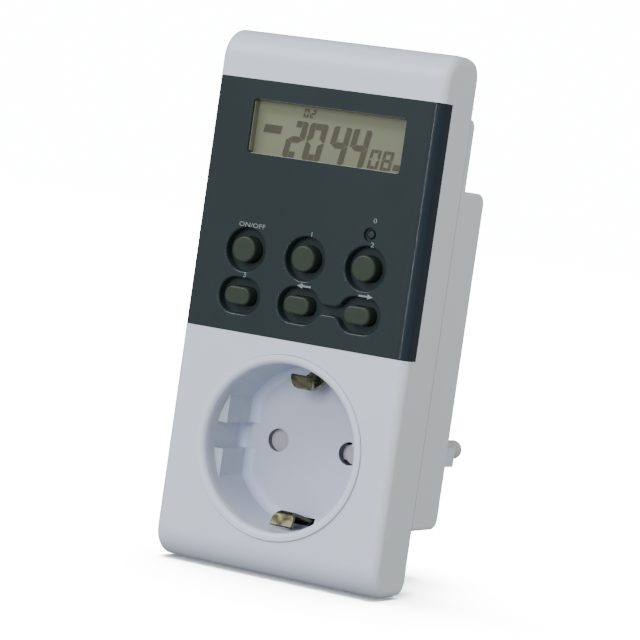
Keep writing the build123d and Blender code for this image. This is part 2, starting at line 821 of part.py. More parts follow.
def socket_insert():
    cup = chamfer(front_rim(bar(0, 0, ring_radius, ring_front, ring_back)), ring_proud / 2)
    cup += bar(0, 0, cup_radius, 0, floor_back)
    cup -= socket_recess()
    mouth = [edge for edge in cup.edges().filter_by(GeomType.CIRCLE)
             if abs(edge.center().Y - depth(ring_front)) < slip and abs(edge.radius - mouth_radius) < slip]
    cup = fillet(mouth, mouth_round)
    for x in (-pin_x, pin_x):
        cup -= bar(x, 0, contact_hole_radius, recess_depth - cut_past, floor_back + cut_past)
    skirt = bar(0, 0, skirt_radius, floor_back - blend_in, cover_front)
    skirt -= bar(0, 0, skirt_radius - skirt_wall, floor_back - cut_past, cover_front + cut_past)
    pivot = bar(0, 0, shutter_pivot_radius, floor_back - blend_in, cover_front)
    stop_x, stop_z = spring_stop()
    stop = slab(stop_x, stop_x + spring_stop_width, floor_back - blend_in, shutter_back,
                stop_z - spring_stop_half, stop_z + spring_stop_half)
    insert = cup + skirt + pivot + stop
    for side in (-1, 1):
        insert -= earth_groove(side, clip_nose_depth, cover_front + cut_past,
                               clip_floor_line - clip_slot_inner, clip_floor_line + clip_slot_outer)
    return insert


# Turning shutter: a hub with two arms, a blade behind each contact hole and a lug for the spring
def safety_shutter():
    arm_front = shutter_front + shutter_thickness / 2
    arm_half = shutter_arm_width / 2
    shutter = slab(-pin_x, pin_x, arm_front, shutter_back, -arm_half, arm_half)
    shutter += bar(-pin_x - left_blade_shift, 0, left_blade_radius, shutter_front, shutter_back)
    shutter += bar(pin_x + right_blade_shift, 0, right_blade_radius, shutter_front, shutter_back)
    shutter += bar(0, 0, shutter_hub_radius, shutter_front, shutter_back)
    lug_end = spring_stop()[1] + spring_stop_half
    shutter += slab(-shutter_lug_half, shutter_lug_half - seat_gap, shutter_front + 2 * shutter_play,
                    shutter_back, 0, lug_end)
    return shutter - bar(0, 0, shutter_pivot_radius + running_gap, shutter_front - cut_past,
                         shutter_back + cut_past)


# Small compression spring between the shutter's lug and the insert
def shutter_spring():
    stop_x, stop_z = spring_stop()
    pitch = (spring_height - 4 * spring_wire) / spring_turns
    coil = Helix(pitch, pitch * spring_turns, spring_radius)
    start = Plane(origin=coil @ 0, z_dir=coil % 0)
    wire = sweep(start * Circle(spring_wire), path=coil)
    middle = depth((shutter_front + shutter_back) / 2)
    return Pos(stop_x - spring_height - slip + 2 * spring_wire, middle, stop_z) * Rot(0, 90, 0) * wire


def contact_carrier():
    disc = bar(0, 0, skirt_radius, cover_front, cover_back)
    for x in (-pin_x, pin_x):
        disc -= bar(x, 0, contact_hole_radius + board_hole_play, cover_front - cut_past, cover_back + cut_past)
    for side in (-1, 1):
        disc -= earth_groove(side, cover_front - cut_past, cover_back + cut_past,
                             clip_line - clip_slot_outer, clip_line + clip_slot_outer)
    return disc


# Screw along Y, whose head lies behind its seat (towards = 1) or in front of it (towards = -1)
def screw(x, z, seat, head_radius, head_height, radius, length, towards):
    front, back = sorted((seat, seat + towards * head_height))
    head = bar(x, z, head_radius, front, back)
    head = chamfer(back_rim(head) if towards > 0 else front_rim(head), head_chamfer)
    front, back = sorted((seat + towards * seat_gap, seat - towards * length))
    return head + bar(x, z, radius, front, back)


def housing_screws():
    return Compound(children=[screw(x, z, case_post_top(z) + case_screw_seat, case_screw_head_radius,
                                    case_screw_head_height, case_screw_radius, case_screw_length, 1)
                              for x, z in case_screw_spots])


def board_screws():
    control = [screw(x, z, board_back, screw_head_radius, screw_head_height, screw_radius,
                     board_thickness + screw_bite, 1) for x, z in board_screw_spots]
    power = [screw(x, z, power_board_depth, screw_head_radius, screw_head_height, screw_radius,
                   board_thickness + screw_length - cut_past, -1) for x, z in power_screw_spots]
    return Compound(children=control + power)


def build():
    outside = casing_outside()
    nodes = {
        "front_shell": front_shell(outside),
        "rear_shell": rear_shell(outside),
        "plug_body": plug_body(),
        "plug_pins": plug_pins(),
        "display_panel": display_panel(outside),
        "display_glass": display_glass(),
        "display_holder": display_holder(),
        "display_connector": display_connector(),
        "keypad_mat": keypad_mat(),
        "key_on_off": key(round_outline, -key_pitch),
        "key_countdown": key(round_outline, 0),
        "key_random": key(round_outline, key_pitch),
        "key_set": key(oval_outline, -key_pitch),
        "key_previous": key(oval_outline, 0),
        "key_next": key(oval_outline, key_pitch),
        "key_reset": reset_key(),
        "control_board": control_board(),
        "controller_chip": controller_chip(),
        "quartz_crystal": quartz_crystal(),
        "backup_battery": backup_battery(),
        "board_link": board_link(),
        "power_board": power_board(),
        "relay": relay(),
        "film_capacitor": film_capacitor(),
        "smoothing_capacitor": smoothing_capacitor(),
        "varistor": varistor(),
        "fuse_resistor": fuse_resistor(),
        "socket_insert": socket_insert(),
        "safety_shutter": safety_shutter(),
        "shutter_spring": shutter_spring(),
        "contact_carrier": contact_carrier(),
        "neutral_rail": neutral_rail(),
        "line_output_rail": line_output_rail(),
        "line_input_rail": line_input_rail(),
        "earth_clip_top": earth_clip(1, top_clip_inner),
        "earth_clip_bottom": earth_clip(-1, bottom_clip_inner),
        "housing_screws": housing_screws(),
        "board_screws": board_screws(),
    }
    os.makedirs("parts", exist_ok=True)
    for name, shape in nodes.items():
        export_step(shape, "parts/" + name + ".step")


build()
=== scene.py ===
import json
import math
import bpy
import bmesh
from mathutils import Matrix, Vector


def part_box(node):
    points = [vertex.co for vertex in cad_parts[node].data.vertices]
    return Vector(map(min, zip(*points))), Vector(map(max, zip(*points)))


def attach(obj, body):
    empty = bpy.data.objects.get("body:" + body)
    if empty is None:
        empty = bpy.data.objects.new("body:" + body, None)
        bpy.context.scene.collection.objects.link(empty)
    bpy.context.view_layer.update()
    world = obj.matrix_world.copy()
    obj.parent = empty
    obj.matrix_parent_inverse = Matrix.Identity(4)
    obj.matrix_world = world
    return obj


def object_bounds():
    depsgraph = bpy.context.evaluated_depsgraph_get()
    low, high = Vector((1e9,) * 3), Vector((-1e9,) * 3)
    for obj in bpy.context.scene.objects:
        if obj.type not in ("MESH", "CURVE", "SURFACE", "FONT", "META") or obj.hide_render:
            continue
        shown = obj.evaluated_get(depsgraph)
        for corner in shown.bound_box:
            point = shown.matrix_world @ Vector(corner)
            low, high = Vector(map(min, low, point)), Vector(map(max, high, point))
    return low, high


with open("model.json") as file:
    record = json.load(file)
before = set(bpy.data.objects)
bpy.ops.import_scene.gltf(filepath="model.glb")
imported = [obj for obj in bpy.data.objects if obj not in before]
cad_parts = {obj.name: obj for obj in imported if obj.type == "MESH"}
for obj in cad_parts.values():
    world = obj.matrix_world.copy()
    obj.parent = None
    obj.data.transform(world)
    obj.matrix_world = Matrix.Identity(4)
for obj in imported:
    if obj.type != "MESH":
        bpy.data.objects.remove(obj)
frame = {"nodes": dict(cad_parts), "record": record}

# Digital plug-through timer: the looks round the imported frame, in metres.
# X runs to the right seen from the front, Y towards the wall, Z up.
mm = 0.001
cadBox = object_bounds()
nodes = frame["nodes"]
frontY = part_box("front_shell")[0].y
print("frame loaded,", len(nodes), "nodes")


# Y of a plane that lies some millimetres behind the front face
def deep(depth):
    return frontY + depth * mm


# A socket of a shader tree that adds and multiplies like a number
class Wire:
    def __init__(self, tree, out):
        self.tree = tree
        self.out = out

    def sum(self, operation, left, right):
        node = self.tree.nodes.new("ShaderNodeMath")
        node.operation = operation
        for entry, value in zip(node.inputs, (left, right)):
            feed(self.tree, entry, value)
        return Wire(self.tree, node.outputs[0])

    def __add__(self, other):
        return self.sum("ADD", self, other)

    def __sub__(self, other):
        return self.sum("SUBTRACT", self, other)

    def __rsub__(self, other):
        return self.sum("SUBTRACT", other, self)

    def __mul__(self, other):
        return self.sum("MULTIPLY", self, other)

    def __pow__(self, other):
        return self.sum("POWER", self, other)

    __radd__ = __add__
    __rmul__ = __mul__


def feed(tree, entry, value):
    if isinstance(value, Wire):
        tree.links.new(value.out, entry)
    else:
        entry.default_value = value


# A material under construction: fixed values go on the shader's sockets, wires only where the bake takes them
class Finish:
    def __init__(self, name, fixed):
        self.material = bpy.data.materials.new(name)
        self.material.use_nodes = True
        self.tree = self.material.node_tree
        self.shader = self.tree.nodes["Principled BSDF"]
        for label, value in fixed.items():
            self.shader.inputs[label].default_value = value
        self.place = self.make("ShaderNodeTexCoord", {}, {}, "Object")

    def make(self, kind, settings, values, output=0):
        node = self.tree.nodes.new(kind)
        for key, value in settings.items():
            setattr(node, key, value)
        for key, value in values.items():
            feed(self.tree, node.inputs[key], value)
        return Wire(self.tree, node.outputs[output])

    def noise(self, size, detail=2.0):
        values = {"Vector": self.place, "Scale": 1.0 / size, "Detail": detail, "Roughness": 0.55}
        return self.make("ShaderNodeTexNoise", {}, values)

    def blend(self, factor, first, second):
        settings = {"data_type": "RGBA", "blend_type": "MIX"}
        return self.make("ShaderNodeMix", settings, {0: factor, 6: first, 7: second}, 2)

    def span(self, value, low, high, newLow, newHigh):
        values = {0: value, 1: low, 2: high, 3: newLow, 4: newHigh}
        return self.make("ShaderNodeMapRange", {"clamp": True}, values)

    def axis(self, name):
        return self.make("ShaderNodeSeparateXYZ", {}, {0: self.place}, "XYZ".index(name))

    def absolute(self, value):
        return self.make("ShaderNodeMath", {"operation": "ABSOLUTE"}, {0: value})

    def bump(self, height, distance, strength=1.0):
        values = {"Strength": strength, "Distance": distance, "Height": height}
        feed(self.tree, self.shader.inputs["Normal"], self.make("ShaderNodeBump", {}, values))

    def colour(self, wire):
        feed(self.tree, self.shader.inputs["Base Color"], wire)

    def rough(self, wire):
        feed(self.tree, self.shader.inputs["Roughness"], wire)


def tint(colour, factor):
    return tuple(min(1.0, part * factor) for part in colour) + (1.0,)


def opaque(colour):
    return colour + (1.0,)


# Where the cloud's noise starts and ends, where the right side's painted light and shade sets in along X, and
# the distances from the parting line within which it fades out
cloudSpan = (0.3, 0.7)
paintedSideSpan = (0.0265, 0.0284)
seamFade = (0.00006, 0.00016)


# How much of the parting line's shade a place has: all of it on the case's two sides, none on its front
def seamLine(finish, user):
    away = finish.absolute(finish.axis("Y") - deep(user["seamDepth"]))
    across = finish.absolute(finish.axis("X"))
    return finish.span(away, *seamFade, 1.0, 0.0) * finish.span(across, *user["seamSpan"], 0.0, 1.0)


# Moulded plastic: a faint cloud in the colour, a fine spark-eroded grain and a slightly uneven gloss.
# Each of the depth tones, painted shade and light in a recess, sets in at one number of millimetres behind
# the front and is full at the next
def mouldedPlastic(name, user):
    finish = Finish(name, {"IOR": 1.5, "Specular IOR Level": user.get("specular", 0.5)})
    cloud = finish.span(finish.noise(user["cloudSize"]), *cloudSpan, 0.0, 1.0)
    grain = finish.noise(user["grainSize"], detail=3.0)
    shades = [tint(user["colour"], 1 - user["shade"]), tint(user["colour"], 1 + user["shade"])]
    surface = finish.blend(cloud, *shades)
    # Painted shade and light, set by depth behind the front
    for start, full, tone in user.get("paintedDepthShading", []):
        reached = finish.span(finish.axis("Y"), deep(start), deep(full), 0.0, 1.0)
        surface = finish.blend(reached, surface, opaque(tone))
    # Painted light and shade: the right side takes its own tone for how light falls on it
    if "paintedSideShading" in user:
        paintedSideMask = finish.span(finish.axis("X"), *paintedSideSpan, 0.0, 1.0)
        surface = finish.blend(paintedSideMask, surface, opaque(user["paintedSideShading"]))
    if "seamDepth" in user:
        surface = finish.blend(seamLine(finish, user), surface, tint(user["colour"], user["seamShade"]))
    finish.colour(surface)
    finish.rough(user["rough"] + (grain - 0.5) * user["roughSpread"])
    finish.bump(grain, user["grainDepth"])
    return finish.material


# The case's right side takes a warmer tint: painted light
whiteCase = {"colour": (0.635, 0.68, 0.79), "shade": 0.012, "cloudSize": 0.03, "grainSize": 0.00035,
             "grainDepth": 0.000006, "rough": 0.42, "roughSpread": 0.10, "seamDepth": 15.4,
             "seamSpan": (0.0289, 0.0292), "seamShade": 0.45, "paintedSideShading": (0.665, 0.70, 0.74)}
# In the socket: painted shade from 1 mm in, a painted lit band at the floor's fillet, painted shade on the
# floor and dark painted shade in the contact bores
socketWhite = {"colour": (0.66, 0.70, 0.80), "shade": 0.012, "cloudSize": 0.02, "grainSize": 0.0006,
               "grainDepth": 0.000002, "rough": 0.30, "roughSpread": 0.06,
               "paintedDepthShading": [(1.0, 2.5, (0.52, 0.555, 0.63)), (15.0, 15.2, (0.62, 0.67, 0.85)),
                              (17.2, 17.45, (0.52, 0.555, 0.66)), (17.6, 17.9, (0.10, 0.10, 0.12))]}
shutterGrey = {"colour": (0.44, 0.42, 0.47), "shade": 0.03, "cloudSize": 0.004, "grainSize": 0.0004,
               "grainDepth": 0.000002, "rough": 0.35, "roughSpread": 0.08}
# The panel's right side takes a darker tone: painted shade
darkPanel = {"colour": (0.023, 0.032, 0.034), "shade": 0.06, "cloudSize": 0.02, "grainSize": 0.0005,
             "grainDepth": 0.0000012, "rough": 0.22, "roughSpread": 0.06, "specular": 0.4,
             "paintedSideShading": (0.015, 0.024, 0.033)}
keyGreen = {"colour": (0.025, 0.038, 0.025), "shade": 0.05, "cloudSize": 0.003, "grainSize": 0.00022,
            "grainDepth": 0.000004, "rough": 0.48, "roughSpread": 0.12}
resetGrey = {"colour": (0.020, 0.028, 0.029), "shade": 0.06, "cloudSize": 0.002, "grainSize": 0.0003,
             "grainDepth": 0.000003, "rough": 0.4, "roughSpread": 0.1}
matRubber = {"colour": (0.45, 0.46, 0.45), "shade": 0.03, "cloudSize": 0.01, "grainSize": 0.0005,
             "grainDepth": 0.000003, "rough": 0.7, "roughSpread": 0.1}
blackEpoxy = {"colour": (0.02, 0.02, 0.021), "shade": 0.1, "cloudSize": 0.004, "grainSize": 0.0002,
              "grainDepth": 0.000006, "rough": 0.6, "roughSpread": 0.15}
yellowCase = {"colour": (0.55, 0.38, 0.05), "shade": 0.05, "cloudSize": 0.005, "grainSize": 0.0003,
              "grainDepth": 0.000003, "rough": 0.35, "roughSpread": 0.1}
blueCoat = {"colour": (0.03, 0.09, 0.26), "shade": 0.08, "cloudSize": 0.003, "grainSize": 0.0005,
            "grainDepth": 0.00001, "rough": 0.3, "roughSpread": 0.1}
boardGreen = {"colour": (0.02, 0.14, 0.05), "shade": 0.15, "cloudSize": 0.006, "grainSize": 0.0004,
              "grainDepth": 0.000002, "rough": 0.3, "roughSpread": 0.1}


# What the metals share: the noise at which tarnish sets in and is full, how much lines and tarnish
# roughen the surface, and between which heights the painted shade of a low piece gives way to the upper one's
# colour
metalWear = {"tarnishSpan": (0.42, 0.66), "lineRough": 0.12, "tarnishRough": 0.15, "paintedShadeHeights": (-0.001, 0.001)}

# Factors for the darker and the lighter places of an uneven colour
uneven = (0.88, 1.1)


def shadePair(colour):
    return [tint(colour, factor) for factor in uneven]


# Metal: drawn or rolled lines along one axis, with darker tarnish in patches, and painted shade on a piece
# below the middle where given
def drawnMetal(name, user):
    finish = Finish(name, {"Metallic": user.get("metallic", 1.0)})
    stretch = finish.make("ShaderNodeMapping", {}, {"Vector": finish.place, "Scale": user["stretch"]})
    lines = finish.make("ShaderNodeTexNoise", {}, {"Vector": stretch, "Scale": 1.0 / user["lineSize"],
                                                   "Detail": 3.0, "Roughness": 0.6})
    patches = finish.noise(user["patchSize"], detail=3.0)
    tarnish = finish.span(patches, *metalWear["tarnishSpan"], 0.0, 1.0)
    bright = finish.blend(lines, *shadePair(user["colour"]))
    # Painted shade: a piece below the middle takes a darker colour
    if "paintedLowShade" in user:
        paintedShadeMask = finish.span(finish.axis("Z"), *metalWear["paintedShadeHeights"], 1.0, 0.0)
        bright = finish.blend(paintedShadeMask, bright, opaque(user["paintedLowShade"]))
    finish.colour(finish.blend(tarnish * user["tarnish"], bright, opaque(user["dark"])))
    finish.rough(user["rough"] + lines * metalWear["lineRough"] + tarnish * metalWear["tarnishRough"])
    finish.bump(lines, user["depth"])
    return finish.material


nickelPin = {"metallic": 0.45, "colour": (0.92, 0.91, 0.86), "dark": (0.55, 0.54, 0.44),
             "lineSize": 0.0006, "patchSize": 0.004, "stretch": (1.0, 0.12, 1.0), "tarnish": 0.35,
             "rough": 0.22, "depth": 0.000003}
# The lower earth clip is darker: painted shade
earthBrass = {"colour": (0.46, 0.44, 0.26), "paintedLowShade": (0.075, 0.074, 0.045), "dark": (0.04, 0.036, 0.018),
              "lineSize": 0.0005, "patchSize": 0.0018, "stretch": (0.2, 1.0, 1.0), "tarnish": 0.75,
              "rough": 0.26, "depth": 0.000006}
contactBrass = {"colour": (0.68, 0.50, 0.20), "dark": (0.30, 0.20, 0.08), "lineSize": 0.0005,
                "patchSize": 0.004, "stretch": (0.2, 1.0, 1.0), "tarnish": 0.3, "rough": 0.25,
                "depth": 0.000003}
zincSteel = {"colour": (0.55, 0.56, 0.57), "dark": (0.25, 0.25, 0.25), "lineSize": 0.0004, "patchSize": 0.003,
             "stretch": (1.0, 1.0, 0.3), "tarnish": 0.25, "rough": 0.3, "depth": 0.000003}


# The display's face: a green-grey film with darker patches that runs from one tone to another along X
def displayFilm(user):
    finish = Finish("displayFilm", {"IOR": 1.45})
    across = finish.span(finish.axis("X"), user["left"], user["right"], 0.0, 1.0)
    mottle = finish.noise(user["mottleSize"])
    base = finish.blend(across, opaque(user["leftColour"]), opaque(user["rightColour"]))
    finish.colour(finish.blend(mottle * user["mottle"], base, opaque(user["darkColour"])))
    finish.rough(user["rough"] + mottle * user["roughSpread"])
    return finish.material


greenFilm = {"left": -0.019, "right": 0.021, "leftColour": (0.182, 0.197, 0.124),
             "rightColour": (0.160, 0.168, 0.112), "darkColour": (0.142, 0.148, 0.094), "mottle": 0.25,
             "mottleSize": 0.006, "rough": 0.32, "roughSpread": 0.08}


inkRoughSpread = 0.1


# Printed ink or a dark display mark, or a flat painted shade, shadow, reflection or highlight: nearly flat,
# with a trace of uneven cover
def inkOrPaintedLight(name, user):
    finish = Finish(name, {})
    cover = finish.noise(user["size"])
    finish.colour(finish.blend(cover, *shadePair(user["colour"])))
    finish.rough(user["rough"] + cover * inkRoughSpread)
    return finish.material


labelInk = {"colour": (0.21, 0.23, 0.24), "size": 0.0005, "rough": 0.5}
segmentInk = {"colour": (0.070, 0.066, 0.045), "size": 0.0012, "rough": 0.35}
# Painted shadow of the display marks, a little darker than the film
segmentPaintedShadow = {"colour": (0.152, 0.156, 0.105), "size": 0.0012, "rough": 0.4}
# Painted shade of the screws' cross recesses
crossPaintedShade = {"colour": (0.035, 0.035, 0.036), "size": 0.0004, "rough": 0.6}
# Painted reflection of the film on the window's wall
paintedLiningReflection = {"colour": (0.24, 0.25, 0.18), "size": 0.002, "rough": 0.35}
# Painted highlight line along the window's front edge
paintedLipHighlight = {"colour": (0.42, 0.47, 0.41), "size": 0.002, "rough": 0.35}

finishes = {
    "white_plastic": mouldedPlastic("whiteCase", whiteCase),
    "socket_plastic": mouldedPlastic("socketWhite", socketWhite),
    "dark_panel": mouldedPlastic("darkPanel", darkPanel),
    "display_glass": displayFilm(greenFilm),
    "connector_rubber": mouldedPlastic("connectorRubber", matRubber),
    "mat_rubber": mouldedPlastic("matRubber", matRubber),
    "key_green": mouldedPlastic("keyGreen", keyGreen),
    "reset_grey": mouldedPlastic("resetGrey", resetGrey),
    "board_green": mouldedPlastic("boardGreen", boardGreen),
    "black_epoxy": mouldedPlastic("blackEpoxy", blackEpoxy),
    "tin_can": drawnMetal("tinCan", zincSteel),
    "relay_case": mouldedPlastic("relayCase", blueCoat),
    "capacitor_case": mouldedPlastic("capacitorCase", yellowCase),
    "varistor_coat": mouldedPlastic("varistorCoat", blueCoat),
    "shutter_grey": mouldedPlastic("shutterGrey", shutterGrey),
    "spring_steel": drawnMetal("springSteel", zincSteel),
    "nickel_brass": drawnMetal("nickelPin", nickelPin),
    "contact_brass": drawnMetal("contactBrass", contactBrass),
    "earth_brass": drawnMetal("earthBrass", earthBrass),
    "screw_steel": drawnMetal("screwSteel", zincSteel),
}
for entry in frame["record"]["subparts"]:
    mesh = nodes[entry["node"]].data
    mesh.materials.clear()
    mesh.materials.append(finishes[entry["material_slot"]])
print("materials on the frame's nodes")


# A mesh object with one material that rides on the housing
def housingPiece(name, mesh, material):
    piece = bpy.data.objects.new(name, mesh)
    bpy.context.scene.collection.objects.link(piece)
    mesh.materials.clear()
    mesh.materials.append(material)
    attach(piece, "housing")


# Thin prisms with the given outlines in X and Z, whose front lies proud of a plane
def prisms(name, outlines, planeY, thick):
    build = bmesh.new()
    for outline in outlines:
        back = [build.verts.new((x, planeY, z)) for x, z in outline]
        face = build.faces.new(back)
        grown = bmesh.ops.extrude_face_region(build, geom=[face])
        for vert in [item for item in grown["geom"] if isinstance(item, bmesh.types.BMVert)]:
            vert.co.y -= thick
    bmesh.ops.recalc_face_normals(build, faces=build.faces)
    mesh = bpy.data.meshes.new(name)
    build.to_mesh(mesh)
    build.free()
    return mesh


# Dark crosses on the housing screws' heads, one per head, placed by a node tree: the painted shade of the
# cross recesses
crosses = {"armLength": 0.0030, "armWidth": 0.0007, "thickness": 0.00004, "faceSlack": 0.00001}


# Centre of each screw's head on its back face, from the frame's own mesh
def headCentres(node, slack):
    groups = {}
    corners = [node.matrix_world @ vertex.co for vertex in node.data.vertices]
    middleZ = sum(corner.z for corner in corners) / len(corners)
    for corner in corners:
        groups.setdefault((corner.x > 0, corner.z > middleZ), []).append(corner)
    centres = []
    for group in groups.values():
        backY = max(corner.y for corner in group)
        face = [corner for corner in group if corner.y > backY - slack]
        centres.append(sum(face, Vector()) / len(face))
    return centres


def crossTree(material):
    tree = bpy.data.node_groups.new("screwCrosses", "GeometryNodeTree")
    tree.interface.new_socket("Geometry", in_out="INPUT", socket_type="NodeSocketGeometry")
    for label in ("Arm length", "Arm width", "Thickness"):
        tree.interface.new_socket(label, in_out="INPUT", socket_type="NodeSocketFloat")
    tree.interface.new_socket("Geometry", in_out="OUTPUT", socket_type="NodeSocketGeometry")
    add = tree.nodes.new
    start = add("NodeGroupInput")
    arms = add("GeometryNodeJoinGeometry")
    for order in (("Arm length", "Thickness", "Arm width"), ("Arm width", "Thickness", "Arm length")):
        size = add("ShaderNodeCombineXYZ")
        for axis, label in zip("XYZ", order):
            tree.links.new(start.outputs[label], size.inputs[axis])
        arm = add("GeometryNodeMeshCube")
        tree.links.new(size.outputs["Vector"], arm.inputs["Size"])
        tree.links.new(arm.outputs["Mesh"], arms.inputs["Geometry"])
    spread = add("GeometryNodeInstanceOnPoints")
    tree.links.new(start.outputs["Geometry"], spread.inputs["Points"])
    tree.links.new(arms.outputs["Geometry"], spread.inputs["Instance"])
    solid = add("GeometryNodeRealizeInstances")
    tree.links.new(spread.outputs["Instances"], solid.inputs["Geometry"])
    dress = add("GeometryNodeSetMaterial")
    dress.inputs["Material"].default_value = material
    tree.links.new(solid.outputs["Geometry"], dress.inputs["Geometry"])
    finished = add("NodeGroupOutput")
    tree.links.new(dress.outputs["Geometry"], finished.inputs["Geometry"])
    return tree


# Runs a node tree over some points with its named inputs set, and gives back a plain mesh
def grow(name, points, tree, values):
    mesh = bpy.data.meshes.new(name + "Points")
    mesh.from_pydata([tuple(point) for point in points], [], [])
    holder = bpy.data.objects.new(name + "Points", mesh)
    bpy.context.scene.collection.objects.link(holder)
    modifier = holder.modifiers.new("grow", "NODES")
    modifier.node_group = tree
    for item in tree.interface.items_tree:
        if item.item_type == "SOCKET" and item.in_out == "INPUT" and item.name in values:
            modifier[item.identifier] = values[item.name]
    bpy.context.view_layer.update()
    grown = bpy.data.meshes.new_from_object(holder.evaluated_get(bpy.context.evaluated_depsgraph_get()))
    bpy.data.objects.remove(holder)
    grown.name = name
    return grown


crossMaterial = inkOrPaintedLight("crossPaintedShade", crossPaintedShade)
crossPlaces = headCentres(nodes["housing_screws"], crosses["faceSlack"])
crossMesh = grow("screwCrosses", crossPlaces, crossTree(crossMaterial),
                 {"Arm length": crosses["armLength"], "Arm width": crosses["armWidth"],
                  "Thickness": crosses["thickness"]})
housingPiece("screwCrosses", crossMesh, crossMaterial)
print("screw crosses placed")


# Display marks: leaning seven-segment figures, a block mark, a mark at the side and a day's number, each with
# a painted shadow copy offset on the film
display = {"thick": 0.00003, "paintedShadowShift": (0.00025, -0.00028), "lean": 0.16, "gap": 0.00009,
           "cornerCut": 0.3,
           "big": {"text": "2044", "size": (0.0047, 0.0087), "weight": 0.0015, "base": (-0.0115, 0.06630),
                   "starts": [0.0, 0.0052, 0.0114, 0.0166]},
           "small": {"text": "08", "size": (0.0027, 0.0045), "weight": 0.00075, "base": (0.0108, 0.06640),
                     "starts": [0.0, 0.0033]},
           "day": {"text": "02", "size": (0.0013, 0.0020), "weight": 0.0004, "base": (-0.0073, 0.0760),
                   "starts": [0.0, 0.0017]}}
segmentsOf = {"0": "abcdef", "1": "bc", "2": "abged", "3": "abgcd", "4": "fgbc", "5": "afgcd", "6": "afgedc",
              "7": "abc", "8": "abcdefg", "9": "abcdfg"}


# The cells of one figure, as outlines in X and Z: the posts own the corners and the level bars lie between
def figure(sign, start, group, user):
    width, height = group["size"]
    weight = group["weight"]
    gap = user["gap"]
    middle = height / 2
    cut = weight * user["cornerCut"]
    top = [(weight + gap, height), (width - weight - gap, height), (width - weight - gap, height - weight),
           (weight + gap, height - weight)]
    bar = [(cut, middle), (weight, middle + weight / 2), (width - weight, middle + weight / 2),
           (width - cut, middle), (width - weight, middle - weight / 2), (weight, middle - weight / 2)]
    post = [(0, height - cut), (0, middle + gap), (cut, middle + gap), (weight, middle + weight / 2 + gap),
            (weight, height), (cut, height)]

    def acrossMirror(cell):
        return [(width - x, z) for x, z in cell]

    def uprightMirror(cell):
        return [(x, height - z) for x, z in cell]

    cells = {"a": top, "d": uprightMirror(top), "g": bar, "f": post, "b": acrossMirror(post),
             "e": uprightMirror(post), "c": acrossMirror(uprightMirror(post))}
    left, low = group["base"]
    return [[(left + start + x + z * user["lean"], low + z) for x, z in cells[cell]]
            for cell in segmentsOf[sign]]


def displayMarks(user):
    outlines = []
    for group in (user["big"], user["small"], user["day"]):
        for sign, start in zip(group["text"], group["starts"]):
            outlines += figure(sign, start, group, user)
    return outlines


def shifted(outlines, dx, dz):
    return [[(x + dx, z + dz) for x, z in outline] for outline in outlines]


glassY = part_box("display_glass")[0].y
marks = displayMarks(display)
blockMark = [(-0.0172, 0.0714), (-0.0126, 0.0714), (-0.0122, 0.0733), (-0.0168, 0.0733)]
sideMark = [(0.0174, 0.0667), (0.0196, 0.0667), (0.0198, 0.0681), (0.0176, 0.0681)]
marks += [blockMark, sideMark]
segmentMaterial = inkOrPaintedLight("segmentInk", segmentInk)
paintedShadowMaterial = inkOrPaintedLight("segmentPaintedShadow", segmentPaintedShadow)
# A darker copy of the marks, offset down and to the right on the film: the painted shadow the figures cast
paintedShadowMesh = prisms("displayPaintedShadow", shifted(marks, *display["paintedShadowShift"]), glassY, display["thick"] * 0.5)
housingPiece("displayPaintedShadow", paintedShadowMesh, paintedShadowMaterial)
housingPiece("displayFigures", prisms("displayFigures", marks, glassY, display["thick"]), segmentMaterial)


# Lining of the window's wall in the film's tone, a painted reflection of the film on its glossy sides, with a
# paler lip in front as a painted highlight line
lining = {"left": -0.0191, "right": 0.0208, "low": 0.0662, "high": 0.0788, "thick": 0.00006, "front": 0.9,
          "lipDepth": 0.12}


# The lining's outline in X and Z, drawn in from the window's wall by a margin
def windowOutline(user, margin):
    left = user["left"] + margin
    right = user["right"] - margin
    low = user["low"] + margin
    high = user["high"] - margin
    return [(left, low), (right, low), (right, high), (left, high)]


# A thin frame along the window's wall between two depths
def windowFrame(user, name, material, frontDepth, backDepth):
    build = bmesh.new()
    outer = windowOutline(user, 0.0)
    inner = windowOutline(user, user["thick"])
    loops = [[build.verts.new((x, y, z)) for x, z in outline]
             for outline in (outer, inner) for y in (deep(frontDepth), deep(backDepth))]
    outerFront, outerBack, innerFront, innerBack = loops
    for first, second in ((outerFront, innerFront), (innerFront, innerBack), (innerBack, outerBack),
                          (outerBack, outerFront)):
        for index in range(len(outer)):
            after = (index + 1) % len(outer)
            build.faces.new((first[index], first[after], second[after], second[index]))
    bmesh.ops.recalc_face_normals(build, faces=build.faces)
    mesh = bpy.data.meshes.new(name)
    build.to_mesh(mesh)
    build.free()
    housingPiece(name, mesh, material)


lipBack = lining["front"] + lining["lipDepth"]
liningBack = (glassY - frontY) / mm
windowFrame(lining, "windowWallReflection", inkOrPaintedLight("liningReflectionPaint", paintedLiningReflection), lipBack, liningBack)
windowFrame(lining, "windowLipHighlight", inkOrPaintedLight("lipHighlightPaint", paintedLipHighlight), lining["front"], lipBack)
print("display marks made")


# Print on the panel, in metres. The capitals of the built-in font take up capShare of its size
labels = {"height": 0.00105, "stretch": 1.28, "capShare": 0.69, "lift": 0.00001, "arrowHead": 0.0014,
          "arrowShaft": 0.35, "arrowHalf": 0.0006, "arrowRow": 0.0377, "arrowSink": 0.00002,
          "arrowSpans": [(0.0026, -0.0010), (0.0150, 0.0187)],
          "words": [("labelOnOff", "ON/OFF", (-0.01485, 0.04960)), ("labelOne", "1", (0.00095, 0.04965)),
                    ("labelTwo", "2", (0.01670, 0.04940)), ("labelThree", "3", (-0.01500, 0.03800)),
                    ("labelZero", "0", (0.01655, 0.05490))]}
labelMaterial = inkOrPaintedLight("labelInk", labelInk)
labelY = frontY - labels["lift"]


